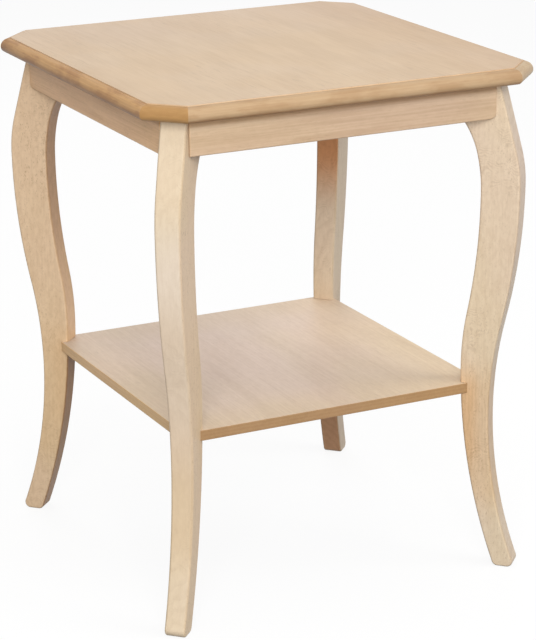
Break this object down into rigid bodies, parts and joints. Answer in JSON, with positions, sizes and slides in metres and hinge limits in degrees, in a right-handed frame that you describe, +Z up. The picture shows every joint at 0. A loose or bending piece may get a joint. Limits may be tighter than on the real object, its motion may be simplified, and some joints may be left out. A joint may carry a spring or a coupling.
{
  "type": "end table with shelf",
  "caption": "Square end table with a clipped-corner moulded top, plain aprons, S-curved legs set on the diagonals and a thin shelf notched into the legs.",
  "frame": {"origin": "on the floor, under the middle of the table", "axes": "+Z up; the front is towards -Y; the legs stand on the diagonals between X and Y"},
  "size_m": [0.48, 0.48, 0.6],
  "materials": {
    "top_beech": "satin lacquer, grain front to back",
    "shelf_beech": "satin lacquer, grain front to back",
    "leg_beech": "satin lacquer, grain along the leg, short dark flecks",
    "apron_beech": "satin lacquer, grain along the apron",
    "block_beech": "unlacquered",
    "zinc_steel": "zinc plated"
  },
  "bodies": {
    "root": {"tabletop": "top_beech", "shelf": "shelf_beech", "leg_front_left": "leg_beech", "leg_front_right": "leg_beech", "leg_back_left": "leg_beech", "leg_back_right": "leg_beech", "apron_front": "apron_beech", "apron_back": "apron_beech", "apron_left": "apron_beech", "apron_right": "apron_beech", "corner_block_front_left": "block_beech", "corner_block_front_right": "block_beech", "corner_block_back_left": "block_beech", "corner_block_back_right": "block_beech", "leg_bolts": "zinc_steel", "leg_washers": "zinc_steel", "leg_nuts": "zinc_steel", "block_screws": "zinc_steel", "top_screws": "zinc_steel", "shelf_dowels": "block_beech"}
  },
  "joints": []
}
